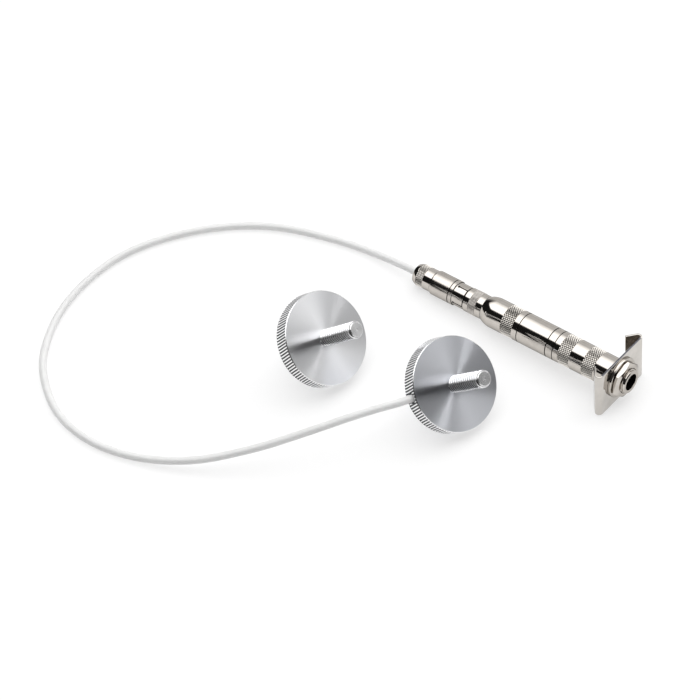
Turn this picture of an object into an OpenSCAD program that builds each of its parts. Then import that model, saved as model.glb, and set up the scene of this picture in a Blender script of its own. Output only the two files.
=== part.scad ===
// Double-bass bridge wheel pickup: two knurled adjuster wheels, one of them wired by a thin
// white lead to a push-on phono plug, which sits in a slim in-line quarter-inch jack with
// a clip bracket. Everything lies on a flat surface, with each wheel leaning on its rear post.

/* [Wheels] */
// Diameter of both adjuster wheels
wheel_d = 34.9; // [31:0.1:40]
// Thickness of both wheels
wheel_t = 6.2; // [5.8:0.1:8]
// Chamfer on the wheels' edges and on the posts' ends
wheel_edge = 0.25; // [0.15:0.05:0.8]
// Diameter of the threaded studs
stud_d = 6.35; // [5.5:0.05:8]
// Length of a stud above the wheel's face
stud_len = 19.8; // [12:0.1:28]
// Chamfer on the stud's tip
stud_tip = 0.7; // [0.3:0.05:1.2]
// Diameter of the plain rear posts
post_d = 6.35; // [5.5:0.05:8]
// Length of a post behind the wheel
post_len = 14.2; // [11:0.1:18]
// Diameter of the pressed root of a stud or post
root_d = 4.8; // [4:0.1:5.4]

/* [Pickup element] */
// Diameter of the cavity in the wired wheel, and of the plate that closes it
cavity_d = 26; // [24:0.1:28]
// Thickness of the plate that closes the cavity
back_plate_t = 1.6; // [1.2:0.1:1.8]
// Bare rim of the contact disc around the piezo disc
piezo_margin = 0.5; // [0.3:0.05:1.5]
// Thickness of the piezo disc
piezo_t = 1.2; // [0.8:0.05:1.4]
// Diameter of the brass contact disc and of the insulator on it
contact_d = 21; // [18:0.1:23]
// Thickness of the brass contact disc
contact_t = 0.4; // [0.3:0.05:0.5]
// Thickness of the insulating disc
insulator_t = 1; // [0.7:0.05:1.1]

/* [Lead] */
// Diameter of the lead
lead_d = 2.9; // [2.4:0.05:3.1]
// Diameter of the stripped core
core_d = 1; // [0.7:0.05:1.3]
// Outside diameter of the grommet in the wheel's rim
grommet_d = 4.2; // [3.9:0.05:4.6]
// Depth of the grommet's end below the rim
grommet_sink = 0.5; // [0.2:0.05:1]

/* [Plug] */
// Diameter of the clamp nut
clamp_d = 8.7; // [8:0.05:9.4]
// Length of the clamp nut
clamp_len = 8.7; // [7:0.1:10]
// Rounding of the clamp nut's rear edge
clamp_round = 1.5; // [0.8:0.1:1.8]
// Diameter of the clamp nut's thread
clamp_thread_d = 6.8; // [6:0.05:7.4]
// Length of the clamp nut's thread
clamp_thread_len = 3.4; // [2.8:0.1:3.7]
// Diameter of the bush that grips the lead
bush_d = 4.8; // [4.2:0.05:5.4]
// Length of the bush that grips the lead
bush_len = 4; // [3:0.1:5]
// Diameter of the plug's barrel
plug_d = 9.6; // [9.3:0.05:10.4]
// Length of the plug's barrel
plug_len = 10.2; // [10:0.1:13]
// Diameter of the slit ground sleeve
sleeve_d = 8.9; // [8.4:0.05:9]
// Wall of the ground sleeve
sleeve_wall = 0.3; // [0.2:0.05:0.4]
// Length of the ground sleeve in front of the barrel
sleeve_out = 4.85; // [4.4:0.05:6]
// Length of the ground sleeve inside the barrel
sleeve_in = 6.4; // [6:0.1:6.6]
// Width of the slits in the sleeve
slit_w = 0.5; // [0.2:0.05:0.6]
// Length of the slits in the sleeve
slit_len = 3.9; // [3:0.1:4.2]
// Diameter of the round hole that ends a slit
slit_hole_d = 1; // [0.6:0.05:1.2]
// Diameter of the centre pin
pin_d = 3.18; // [3:0.02:3.3]
// Length of the pin in front of the sleeve
pin_out = 6; // [5:0.1:6.5]
// Length of the pin's insulator
plug_insulator_len = 4; // [3:0.1:5]

/* [Socket] */
// Length of the ring that enters the plug's sleeve
socket_ring_len = 6; // [5:0.1:6.5]
// Diameter of the knurled neck
neck_d = 9.5; // [9.2:0.05:10]
// Step from the knurled band down to the plain bands
neck_step = 0.1; // [0.05:0.01:0.2]
// Length of the plain band next to the plug
neck_rear_len = 2.55; // [1.2:0.05:3]
// Length of the knurled band
neck_knurl_len = 3.1; // [2.5:0.05:5]
// Length of the plain band next to the barrel
neck_front_len = 2.8; // [2:0.05:3.4]
// Diameter of the neck's threaded root
neck_root_d = 8.8; // [8.2:0.05:9]
// Length of the neck's threaded root
neck_root_len = 4; // [3:0.1:5]
// Diameter of the socket's insulator
socket_insulator_d = 6.6; // [6:0.05:7]
// Outside diameter of the tube that takes the pin
socket_tube_d = 4.4; // [4.1:0.05:5]
// Diameter of the solder tail behind that tube
socket_tail_d = 1.6; // [1.2:0.1:2]
// Length of the solder tail
socket_tail_len = 4.6; // [3:0.1:6]

/* [Jack barrel] */
// Diameter of the jack's barrel
jack_d = 11.75; // [11.6:0.05:13]
// Wall of the rear barrel
jack_wall = 0.8; // [0.6:0.05:1]
// Length of the rear barrel
rear_len = 30.3; // [27:0.1:36]
// Length of the rounded shoulder on the rear barrel
dome_len = 4.4; // [3.4:0.1:5.4]
// Diameter where the shoulder starts
dome_d = 9.6; // [9:0.05:10]
// Length of the front barrel
front_len = 28.5; // [27:0.1:34]
// Diameter of the front barrel's thread inside the rear barrel
front_thread_d = 10.4; // [10.2:0.05:10.5]
// Length of that thread
front_thread_len = 4; // [3:0.1:5]
// Diameter of the hollow in the front barrel
hollow_d = 9.2; // [9:0.05:9.3]
// Width of the turned grooves
groove_w = 0.35; // [0.2:0.05:0.6]
// Depth of the turned grooves
groove_depth = 0.2; // [0.1:0.05:0.25]
// Distance of the rear barrel's groove from its rear end
rear_groove_at = 17.35; // [12:0.05:20]
// Distance of the front barrel's groove from the seam
front_groove_at = 3.1; // [2:0.05:5]

/* [Jack bushing and contacts] */
// Diameter of the threaded bushing
bushing_d = 9.5; // [9.35:0.05:10]
// Diameter of the bore that takes the plug
bore_d = 6.4; // [6.3:0.05:6.8]
// Length of the bushing inside the front barrel
bushing_seat = 11; // [8:0.1:14]
// Length of the bushing beyond the hex nut
bushing_proud = 1.3; // [0.8:0.05:3]
// Chamfer at the bushing's mouth
bushing_edge = 0.4; // [0.2:0.05:0.6]
// Distance of the contact carrier from the seam
carrier_at = 1; // [0.5:0.1:2]
// Thickness of the contact carrier
carrier_t = 3; // [2:0.1:3.4]
// Width of the tip contact's strip
leaf_w = 2.5; // [2:0.05:3]
// Thickness of the tip contact's strip
leaf_t = 0.3; // [0.2:0.02:0.4]
// Distance of the strip from the jack's axis
leaf_y = 3.5; // [3.4:0.05:3.6]
// Height of the contact point's bend above the axis
leaf_bend_y = 2.4; // [2.2:0.05:2.8]
// Length of the solder tail behind the carrier
leaf_tail = 3; // [2:0.1:4]
// Length of the sprung strip in front of the carrier
leaf_len = 7.4; // [6:0.1:9]
// Diameter of the wire from the socket to the tip contact
wire_d = 1.2; // [0.8:0.05:1.4]

/* [Clip bracket] */
// Width of the bracket over its bends
plate_w = 27; // [24:0.1:32]
// Sideways offset of the bracket from the jack's axis
plate_side = 1.3; // [0:0.1:2]
// Height of the bracket
plate_h = 19.2; // [18:0.1:24]
// Downward offset of the bracket from the jack's axis
plate_drop = 0.8; // [0:0.1:1.5]
// Thickness of the bracket's sheet
plate_t = 0.8; // [0.6:0.05:1.2]
// Inside radius of the bends
bend_r = 0.8; // [0.4:0.05:1.2]
// Angle that each side turns back through
bend_angle = 140; // [125:1:145]
// Length of a folded side beyond its bend
fold_len = 4.4; // [3:0.1:6]
// Diameter of the washer
washer_d = 15.6; // [15:0.1:17.5]
// Thickness of the washer
washer_t = 1.2; // [0.6:0.05:1.6]
// Width of the hex nut across its flats
nut_flats = 12.7; // [12:0.1:13.5]
// Thickness of the hex nut
nut_t = 2.4; // [2:0.05:3]
// Turn of the hex nut about its axis
nut_turn = 15; // [0:1:59]

/* [Fits] */
// Radial clearance where metal pieces turn or slide on each other
run_clear = 0.05; // [0.02:0.01:0.08]
// Gap between the plug's sleeve and the socket's neck
mate_gap = 0.25; // [0.1:0.05:0.4]

/* [Layout] */
// Place of the wired wheel's rear face, left to right
pickup_x = -5.2; // [-8:0.1:0]
// Place of the wired wheel's rear face, front to back
pickup_y = -18.8; // [-22:0.1:-16]
// Compass turn of the wired wheel
pickup_turn = -46.3; // [-60:0.1:-30]
// Turn of the lead's hole about the wired wheel's axis
lead_turn = -104.5; // [-120:0.5:-90]
// Place of the plain wheel's rear face, left to right
plain_x = -51.5; // [-70:0.1:-48]
// Place of the plain wheel's rear face, front to back
plain_y = 2.9; // [-1:0.1:8]
// Compass turn of the plain wheel
plain_turn = -38.9; // [-60:0.1:-20]
// Place of the bracket's front face, left to right
jack_x = 57.2; // [52:0.1:62]
// Place of the bracket's front face, front to back
jack_y = -13.4; // [-17:0.1:-10]
// Compass heading of the jack, from straight right towards the front
jack_heading = 38.8; // [30:0.1:46]

/* [Hidden] */

$fn = 64;
// Overrun of a cut past the face that it opens
cut = 1;
// Steps in a rounded edge, and in a bend of the bracket
round_steps = 6;
bend_steps = 12;

// Wheels: the local origin is the centre of the rear face, and +Z points along the stud
wheel_r = wheel_d / 2;
lean = atan(post_len / (wheel_r - post_d / 2));
wheel_rest_h = max(wheel_r * sin(lean) - wheel_edge * cos(lean), (wheel_r - wheel_edge) * sin(lean));
cavity_depth = back_plate_t + piezo_t + contact_t + insulator_t;
piezo_z = back_plate_t;
contact_z = piezo_z + piezo_t;
insulator_z = contact_z + contact_t;
lead_hole_z = wheel_t / 2;

// Jack: the local Z axis runs from the plug to the jack's mouth, with 0 at the sleeve's front edge
barrel_front_z = -sleeve_out;
barrel_rear_z = barrel_front_z - plug_len;
sleeve_rear_z = barrel_front_z - sleeve_in;
clamp_rear_z = barrel_rear_z - clamp_len;
pin_rear_z = sleeve_rear_z;
lead_end_z = barrel_rear_z - 1;
neck_z = mate_gap;
neck_knurl_z = neck_z + neck_rear_len;
neck_front_z = neck_knurl_z + neck_knurl_len;
rear_z = neck_front_z + neck_front_len;
socket_face_z = -socket_ring_len + 0.4;
socket_tube_end_z = pin_out + 1.6;
socket_tail_end_z = socket_tube_end_z + socket_tail_len;
seam_z = rear_z + rear_len;
plate_rear_z = seam_z + front_len;
plate_z = plate_rear_z + plate_t;
nut_z = plate_z + washer_t;
mouth_z = nut_z + nut_t + bushing_proud;
bushing_rear_z = plate_rear_z - bushing_seat;
carrier_z = seam_z + carrier_at;
carrier_front_z = carrier_z + carrier_t;
terminal_rear_z = carrier_z - leaf_tail;

// Bracket: its depth below the axis, outer bend radius, and the folded sides' reach behind the front face
plate_low = plate_h / 2 + plate_drop;
bend_out = bend_r + plate_t;
fold_back = bend_out * (1 - cos(bend_angle)) + fold_len * sin(bend_angle);

// The jack rests on the clamp nut's rounded edge and on the lower corners of the folded sides
clamp_rest_r = clamp_d / 2 - clamp_round;
rest_run = plate_z - fold_back - clamp_rear_z - clamp_round;
rest_rise = plate_low - clamp_rest_r;
jack_tilt = atan(rest_rise / rest_run) - asin(clamp_round / norm([rest_run, rest_rise]));
jack_h = plate_low * cos(jack_tilt) + fold_back * sin(jack_tilt);

// Points on the lead's straight ends: in the wheel at a radius, and on the jack's axis
function turned_about_z(p, a) = [p.x * cos(a) - p.y * sin(a), p.x * sin(a) + p.y * cos(a), p.z];
function leaned(p) = [p.x * cos(lean) + p.z * sin(lean), p.y, p.z * cos(lean) - p.x * sin(lean)];
function pickup_point(r) =
    [pickup_x, pickup_y, wheel_rest_h]
    + turned_about_z(leaned(turned_about_z([r, 0, lead_hole_z], lead_turn)), pickup_turn);
jack_axis = [
    cos(jack_heading) * cos(jack_tilt), -sin(jack_heading) * cos(jack_tilt), sin(jack_tilt)
];
function jack_point(z) = [jack_x, jack_y, jack_h] + (z - plate_z) * jack_axis;

// The lead's route: straight out of the rim, down to the surface, round in one loose loop to the plug
lead_step = 5;
lead_start_r = cavity_d / 2;
lead_loop = [
    [-27.8, -34.6, 18.5], [-38.8, -38.6, 18], [-48.8, -41.6, 16], [-59.3, -43.6, 13], [-69.8, -45.6, 10],
    [-79.8, -46.6, 7.5], [-90.8, -47.6, 5], [-101.3, -47.1, 3.5], [-111.8, -45.1, 2.2], [-122.3, -41.6, 1.6],
    [-131.8, -36.6, 1.5], [-140.3, -29.1, 1.5], [-146.3, -20.1, 1.5], [-149.8, -9.6, 1.5], [-151.8, 0.9, 1.5],
    [-150.8, 11.9, 1.5], [-148.3, 22.4, 1.5], [-144.3, 32.4, 1.5], [-138.3, 41.9, 1.5], [-131.3, 50.4, 1.5],
    [-123.3, 57.4, 1.5], [-113.8, 62.9, 1.5], [-103.8, 66.9, 1.5], [-93.3, 69.9, 1.5], [-82.3, 71.4, 1.5],
    [-71.3, 71.4, 1.5], [-60.3, 69.4, 1.5], [-50.3, 65.9, 1.5], [-39.8, 61.9, 1.5], [-30.3, 56.4, 2]
];
lead_route = concat(
    [for (i = [-1:2]) pickup_point(lead_start_r + i * lead_step)],
    lead_loop,
    [for (i = [-3:1]) jack_point(lead_end_z + i * lead_step)]
);
lead_rings_per_point = 2;
tube_sides = 8;

// A smooth curve that runs near its guide points, and its direction
function curve_at(p, i, t) =
    (pow(1 - t, 3) * p[i] + (3 * t * t * t - 6 * t * t + 4) * p[i + 1]
    + (-3 * t * t * t + 3 * t * t + 3 * t + 1) * p[i + 2] + t * t * t * p[i + 3]) / 6;
function curve_points(p, n) = concat(
    [for (i = [0:len(p) - 4], k = [0:n - 1]) curve_at(p, i, k / n)],
    [curve_at(p, len(p) - 4, 1)]
);
function unit(v) = v / norm(v);
function direction(p, i) = unit(p[min(i + 1, len(p) - 1)] - p[max(i - 1, 0)]);
// One ring of a tube: a regular polygon square to the direction d, with one axis square to side
function ring(c, d, side, r) = let (u = unit(cross(side, d)), v = cross(d, u))
    [for (k = [0:tube_sides - 1]) c + r * (cos(360 * k / tube_sides) * u + sin(360 * k / tube_sides) * v)];

module tube_along(p, d, side) {
    n = tube_sides;
    rings = len(p);
    points = [for (i = [0:rings - 1]) each ring(p[i], direction(p, i), side, d / 2)];
    walls = [
        for (i = [0:rings - 2], k = [0:n - 1])
            let (a = i * n + k, b = i * n + (k + 1) % n)
                each [[a, a + n, b], [b, a + n, b + n]]
    ];
    first_cap = [for (k = [1:n - 2]) [0, k, k + 1]];
    last_cap = [for (k = [1:n - 2]) [(rings - 1) * n, (rings - 1) * n + k + 1, (rings - 1) * n + k]];
    polyhedron(points, concat(walls, first_cap, last_cap));
}

module on_pickup() {
    translate([pickup_x, pickup_y, wheel_rest_h]) rotate([0, lean, pickup_turn]) children();
}

module on_plain() {
    translate([plain_x, plain_y, wheel_rest_h]) rotate([0, lean, plain_turn]) children();
}

module on_jack() {
    translate([jack_x, jack_y, jack_h])
        rotate([90 - jack_tilt, 0, 90 - jack_heading])
            translate([0, 0, -plate_z])
                children();
}

// A round piece between two heights
module rod(d, z0, z1) {
    translate([0, 0, z0]) cylinder(d = d, h = z1 - z0);
}

// A hole between two heights, opened past the faces where asked
module hole(d, z0, z1, open_below = false, open_above = false) {
    below = open_below ? cut : 0;
    above = open_above ? cut : 0;
    translate([0, 0, z0 - below]) cylinder(d = d, h = z1 - z0 + below + above);
}

// A hole that is open at both ends
module through(d, z0, z1) {
    hole(d, z0, z1, open_below = true, open_above = true);
}

module ring_groove(d, z) {
    translate([0, 0, z]) difference() {
        cylinder(d = d + cut, h = groove_w, center = true);
        cylinder(d = d - 2 * groove_depth, h = groove_w + cut, center = true);
    }
}

module wheel_blank() {
    rotate_extrude() polygon([
        [0, 0], [wheel_r - wheel_edge, 0], [wheel_r, wheel_edge],
        [wheel_r, wheel_t - wheel_edge], [wheel_r - wheel_edge, wheel_t], [0, wheel_t]
    ]);
}

// A stud that stands on the wheel's face, with a root of the given depth below it
module stud(root) {
    top = wheel_t + stud_len;
    rod(root_d, wheel_t - root, wheel_t + stud_tip);
    rotate_extrude() polygon([
        [0, wheel_t], [stud_d / 2, wheel_t], [stud_d / 2, top - stud_tip],
        [stud_d / 2 - stud_tip, top], [0, top]
    ]);
}

// A post that stands behind the wheel, with a root of the given depth in it
module post(root) {
    rod(root_d, -cut, root);
    rotate_extrude() polygon([
        [0, 0], [0, -post_len], [post_d / 2 - wheel_edge, -post_len],
        [post_d / 2, wheel_edge - post_len], [post_d / 2, 0]
    ]);
}

module pickup_wheel() {
    color("silver") on_pickup() difference() {
        wheel_blank();
        hole(cavity_d, 0, cavity_depth, open_below = true);
        through(root_d, cavity_depth, wheel_t);
        rotate(lead_turn) translate([0, 0, lead_hole_z]) rotate([0, 90, 0])
            hole(grommet_d, cavity_d / 2 - cut, wheel_r, open_above = true);
    }
}

module pickup_back_plate() {
    color("lightgray") on_pickup() difference() {
        rod(cavity_d, 0, back_plate_t);
        through(root_d, 0, back_plate_t);
    }
}

module pickup_stud() {
    color("gainsboro") on_pickup() stud(wheel_t - cavity_depth);
}

module pickup_post() {
    color("silver") on_pickup() post(back_plate_t);
}

module piezo_disc() {
    color("ivory") on_pickup() rod(contact_d - 2 * piezo_margin, piezo_z, contact_z);
}

module contact_disc() {
    color("goldenrod") on_pickup() rod(contact_d, contact_z, insulator_z);
}

module insulating_disc() {
    color("saddlebrown") on_pickup() rod(contact_d, insulator_z, cavity_depth);
}

module wheel_core_wire() {
    color("peru") on_pickup() rotate(lead_turn) translate([0, 0, lead_hole_z]) rotate([0, 90, 0])
        rod(core_d, contact_d / 2, lead_start_r);
}

module lead_grommet() {
    color("black") on_pickup() rotate(lead_turn) translate([0, 0, lead_hole_z]) rotate([0, 90, 0])
        difference() {
            rod(grommet_d, cavity_d / 2, wheel_r - grommet_sink);
            hole(lead_d + 2 * run_clear, cavity_d / 2, wheel_r, open_below = true);
        }
}

module lead_cable() {
    color("white") tube_along(curve_points(lead_route, lead_rings_per_point), lead_d, [0, 0, 1]);
}

module plug_clamp_nut() {
    r = clamp_d / 2;
    color("silver") on_jack() difference() {
        union() {
            rotate_extrude() polygon(concat(
                [[0, barrel_rear_z], [0, clamp_rear_z]],
                [for (i = [0:round_steps]) let (a = 90 * i / round_steps)
                    [r - clamp_round * (1 - sin(a)), clamp_rear_z + clamp_round * (1 - cos(a))]],
                [[r, barrel_rear_z]]
            ));
            rod(clamp_thread_d, barrel_rear_z - cut, barrel_rear_z + clamp_thread_len);
        }
        hole(bush_d + 2 * run_clear, clamp_rear_z, clamp_rear_z + bush_len, open_below = true);
        hole(lead_d + 4 * run_clear, clamp_rear_z, barrel_rear_z + clamp_thread_len, open_above = true);
    }
}

module plug_cable_bush() {
    color("dimgray") on_jack() difference() {
        rod(bush_d, clamp_rear_z + run_clear, clamp_rear_z + bush_len - run_clear);
        through(lead_d + 2 * run_clear, clamp_rear_z, clamp_rear_z + bush_len);
    }
}

module plug_core_wire() {
    color("peru") on_jack() rod(core_d, lead_end_z, pin_rear_z);
}

module plug_barrel() {
    color("silver") on_jack() difference() {
        rod(plug_d, barrel_rear_z, barrel_front_z);
        through(clamp_thread_d + 2 * run_clear, barrel_rear_z, sleeve_rear_z);
        hole(sleeve_d, sleeve_rear_z, barrel_front_z, open_above = true);
        ring_groove(plug_d, barrel_front_z - 5 * groove_w);
    }
}

module plug_ground_sleeve() {
    color("lightgray") on_jack() difference() {
        rod(sleeve_d, sleeve_rear_z, 0);
        through(sleeve_d - 2 * sleeve_wall, sleeve_rear_z, 0);
        for (a = [5, 95]) rotate(a) {
            translate([-sleeve_d, -slit_w / 2, -slit_len]) cube([2 * sleeve_d, slit_w, slit_len + cut]);
            translate([0, 0, -slit_len]) rotate([0, 90, 0])
                cylinder(d = slit_hole_d, h = 2 * sleeve_d, center = true);
        }
    }
}

module plug_insulator() {
    color("white") on_jack() difference() {
        rod(sleeve_d - 2 * sleeve_wall, sleeve_rear_z, sleeve_rear_z + plug_insulator_len);
        through(pin_d, sleeve_rear_z, sleeve_rear_z + plug_insulator_len);
    }
}

module plug_pin() {
    tip = pin_d / 4;
    color("gold") on_jack() rotate_extrude() polygon([
        [0, pin_rear_z], [pin_d / 2, pin_rear_z], [pin_d / 2, pin_out - 2 * tip],
        [pin_d / 2 - tip, pin_out], [0, pin_out]
    ]);
}

module socket_neck() {
    ring_d = sleeve_d - 2 * sleeve_wall - 2 * run_clear;
    plain_d = neck_d - 2 * neck_step;
    color("silver") on_jack() difference() {
        union() {
            rod(ring_d, -socket_ring_len, neck_z + neck_rear_len / 2);
            rod(plain_d, neck_z, rear_z);
            rod(neck_d, neck_knurl_z, neck_front_z);
            rod(neck_root_d, rear_z - cut, rear_z + neck_root_len);
        }
        through(socket_insulator_d, -socket_ring_len, rear_z + neck_root_len);
    }
}

module socket_insulator() {
    color("whitesmoke") on_jack() difference() {
        rod(socket_insulator_d, socket_face_z, socket_tube_end_z);
        through(socket_tube_d, socket_face_z, socket_tube_end_z);
    }
}

module socket_contact() {
    color("gold") on_jack() difference() {
        union() {
            rod(socket_tube_d, socket_face_z, socket_tube_end_z);
            rod(socket_tail_d, socket_tube_end_z - cut / 2, socket_tail_end_z);
        }
        hole(pin_d + 2 * run_clear, socket_face_z, pin_out + cut / 2, open_below = true);
    }
}

module signal_wire() {
    steps = 12;
    color("firebrick") on_jack() tube_along(
        [for (i = [0:steps]) let (t = i / steps)
            [0, leaf_y * t * t * (3 - 2 * t), socket_tail_end_z + t * (terminal_rear_z - socket_tail_end_z)]],
        wire_d, [1, 0, 0]
    );
}

module jack_rear_barrel() {
    r = jack_d / 2;
    rise = (jack_d - dome_d) / 2;
    color("silver") on_jack() difference() {
        rotate_extrude() polygon(concat(
            [[0, seam_z], [0, rear_z]],
            [for (i = [0:round_steps]) let (a = 90 * i / round_steps)
                [r - rise * (1 - sin(a)), rear_z + dome_len * (1 - cos(a))]],
            [[r, seam_z]]
        ));
        through(neck_root_d, rear_z, rear_z + neck_root_len);
        hole(jack_d - 2 * jack_wall, rear_z + neck_root_len, seam_z - front_thread_len);
        hole(front_thread_d, seam_z - front_thread_len - cut / 2, seam_z, open_above = true);
        ring_groove(jack_d, rear_z + rear_groove_at);
    }
}

module jack_front_barrel() {
    color("silver") on_jack() difference() {
        union() {
            rod(jack_d, seam_z, plate_rear_z);
            rod(front_thread_d, seam_z - front_thread_len, seam_z + cut);
        }
        through(hollow_d, seam_z - front_thread_len, bushing_rear_z);
        hole(bushing_d, bushing_rear_z, plate_rear_z, open_above = true);
        ring_groove(jack_d, seam_z + front_groove_at);
    }
}

module jack_bushing() {
    r = bushing_d / 2;
    color("silver") on_jack() rotate_extrude() polygon([
        [bore_d / 2, bushing_rear_z], [r, bushing_rear_z], [r, mouth_z - bushing_edge],
        [r - bushing_edge, mouth_z], [bore_d / 2 + bushing_edge, mouth_z],
        [bore_d / 2, mouth_z - bushing_edge]
    ]);
}

module contact_carrier() {
    color("sienna") on_jack() difference() {
        rod(hollow_d, carrier_z, carrier_front_z);
        translate([-leaf_w / 2, leaf_y - leaf_t / 2, carrier_z - cut])
            cube([leaf_w, leaf_t, carrier_t + 2 * cut]);
    }
}

module tip_terminal() {
    color("goldenrod") on_jack() translate([-leaf_w / 2, leaf_y - leaf_t / 2, terminal_rear_z])
        cube([leaf_w, leaf_t, carrier_front_z - terminal_rear_z]);
}

// A sprung strip that runs forward, dips to the contact point and lifts again at its end
module tip_spring() {
    rise_at = 0.46;
    bend_at = 0.73;
    line = [
        [carrier_front_z + run_clear, leaf_y], [carrier_front_z + rise_at * leaf_len, leaf_y + leaf_t / 3],
        [carrier_front_z + bend_at * leaf_len, leaf_bend_y], [carrier_front_z + leaf_len, leaf_y]
    ];
    outer = [for (p = line) p + [0, leaf_t / 2]];
    inner = [for (i = [len(line) - 1:-1:0]) line[i] - [0, leaf_t / 2]];
    color("goldenrod") on_jack() rotate([0, -90, 0])
        linear_extrude(height = leaf_w, center = true) polygon(concat(outer, inner));
}

// The bracket's outline: a flat front with a rounded bend and a folded side at each end
module bracket_outline() {
    centre = [plate_w / 2 - bend_out, bend_out];
    end_angle = bend_angle - 90;
    out = [cos(end_angle), sin(end_angle)];
    along = [-sin(end_angle), cos(end_angle)];
    side = concat(
        [for (i = [0:bend_steps]) let (a = -90 + bend_angle * i / bend_steps)
            centre + bend_out * [cos(a), sin(a)]],
        [centre + bend_out * out + fold_len * along, centre + bend_r * out + fold_len * along],
        [for (i = [bend_steps:-1:0]) let (a = -90 + bend_angle * i / bend_steps)
            centre + bend_r * [cos(a), sin(a)]]
    );
    polygon(concat(side, [for (i = [len(side) - 1:-1:0]) [-side[i].x, side[i].y]]));
}

module clip_bracket() {
    color("silver") on_jack() translate([0, 0, plate_z]) rotate([-90, 0, 0]) difference() {
        translate([plate_side, 0, -plate_drop])
            linear_extrude(height = plate_h, center = true) bracket_outline();
        rotate([-90, 0, 0]) through(bushing_d + 2 * run_clear, 0, plate_t);
    }
}

module lock_washer() {
    color("lightgray") on_jack() difference() {
        rod(washer_d, plate_z, nut_z);
        through(bushing_d + 2 * run_clear, plate_z, nut_z);
    }
}

module hex_nut() {
    corners_r = nut_flats / 2 / cos(30);
    blank_r = corners_r + cut / 10;
    face_r = 0.47 * nut_flats;
    drop = (blank_r - face_r) * tan(30);
    color("silver") on_jack() difference() {
        intersection() {
            translate([0, 0, nut_z]) rotate(nut_turn) cylinder(r = corners_r, h = nut_t, $fn = 6);
            rotate_extrude() polygon([
                [0, nut_z], [face_r, nut_z], [blank_r, nut_z + drop],
                [blank_r, nut_z + nut_t - drop], [face_r, nut_z + nut_t], [0, nut_z + nut_t]
            ]);
        }
        through(bushing_d + 2 * run_clear, nut_z, nut_z + nut_t);
    }
}

module plain_wheel() {
    color("silver") on_plain() difference() {
        wheel_blank();
        through(root_d, 0, wheel_t);
    }
}

module plain_stud() {
    color("gainsboro") on_plain() stud(wheel_t / 2);
}

module plain_post() {
    color("silver") on_plain() post(wheel_t / 2);
}

pickup_wheel();
pickup_back_plate();
pickup_stud();
pickup_post();
piezo_disc();
contact_disc();
insulating_disc();
wheel_core_wire();
lead_grommet();
lead_cable();
plug_clamp_nut();
plug_cable_bush();
plug_core_wire();
plug_barrel();
plug_ground_sleeve();
plug_insulator();
plug_pin();
socket_neck();
socket_insulator();
socket_contact();
signal_wire();
jack_rear_barrel();
jack_front_barrel();
jack_bushing();
contact_carrier();
tip_terminal();
tip_spring();
clip_bracket();
lock_washer();
hex_nut();
plain_wheel();
plain_stud();
plain_post();
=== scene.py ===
"""Looks of a double-bass bridge wheel pickup: two turned wheels, a white lead and an in-line jack."""
import math

import bmesh
import bpy
from mathutils import Matrix, Vector


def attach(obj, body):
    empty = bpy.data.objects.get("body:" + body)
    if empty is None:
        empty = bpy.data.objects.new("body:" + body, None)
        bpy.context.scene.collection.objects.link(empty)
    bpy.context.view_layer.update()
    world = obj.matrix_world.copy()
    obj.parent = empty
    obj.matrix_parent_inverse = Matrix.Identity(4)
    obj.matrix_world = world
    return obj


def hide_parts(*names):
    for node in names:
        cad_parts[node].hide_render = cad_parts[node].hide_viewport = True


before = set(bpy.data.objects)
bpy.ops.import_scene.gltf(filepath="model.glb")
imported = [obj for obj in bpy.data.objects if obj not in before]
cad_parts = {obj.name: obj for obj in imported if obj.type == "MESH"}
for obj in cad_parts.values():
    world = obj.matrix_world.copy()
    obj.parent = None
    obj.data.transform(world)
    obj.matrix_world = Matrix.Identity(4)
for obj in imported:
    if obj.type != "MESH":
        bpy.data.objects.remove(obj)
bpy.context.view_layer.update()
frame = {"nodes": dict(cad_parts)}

MM = 0.001
MM_PER_METRE = 1000
TAU = 2 * math.pi

# How the meshes are made: the angles in degrees from which an edge stays sharp, how close points are welded and
# how close to the ends of a long span extra rings lie in millimetres, and the steps round or along a piece
SHARP = 20.0
SHEET_SHARP = 50.0
WELD = 1e-4
SUPPORT = 0.12
ROUND_STEPS = 16
SLIT_STEPS = 24
BEND_STEPS = 18
LEAD_STEPS = 6
WIRE_STEPS = 24
HOLE_COLUMNS = 48
TURNED_COLUMNS = 96
THREAD_COLUMNS = 40
BUSHING_COLUMNS = 72
RIM_COLUMNS = 204
CLAMP_COLUMNS = 64
NECK_COLUMNS = 88
BARREL_COLUMNS = 72
NUT_COLUMNS = 96
WIRE_RESOLUTION = 5

# Sizes in millimetres, as in the solids, but for the socket's ring: it is 0.25 smaller here, and leaves a gap
# behind the sleeve's slits, dark with painted shade on the ring. Heights named Z lie along the jack, from the end
# of the plug's sleeve.
WHEEL_R = 17.45
WHEEL_T = 6.2
WHEEL_EDGE = 0.25
STUD_R = 3.175
STUD_LEN = 19.8
STUD_TIP = 0.7
POST_R = 3.175
POST_LEN = 14.2
ROOT_R = 2.4
CAVITY_R = 13.0
CAVITY_DEPTH = 4.2
BACK_PLATE_T = 1.6
LEAD_R = 1.45
GROMMET_R = 2.1
GROMMET_SINK = 0.5
LEAD_TURN = -104.5
RUN_CLEAR = 0.05
GROOVE_W = 0.35
GROOVE_DEPTH = 0.2

CLAMP_REAR_Z = -23.75
PLUG_REAR_Z = -15.05
PLUG_FRONT_Z = -4.85
SLEEVE_REAR_Z = -11.25
CLAMP_R = 4.35
CLAMP_ROUND = 1.5
CLAMP_THREAD_R = 3.4
CLAMP_THREAD_END_Z = -11.65
BUSH_R = 2.4
BUSH_END_Z = -19.75
LEAD_END_Z = -16.05
PLUG_R = 4.8
SLEEVE_R = 4.45
SLEEVE_WALL = 0.3
SLIT_W = 0.5
SLIT_LEN = 3.9
SLIT_HOLE_R = 0.5

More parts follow.
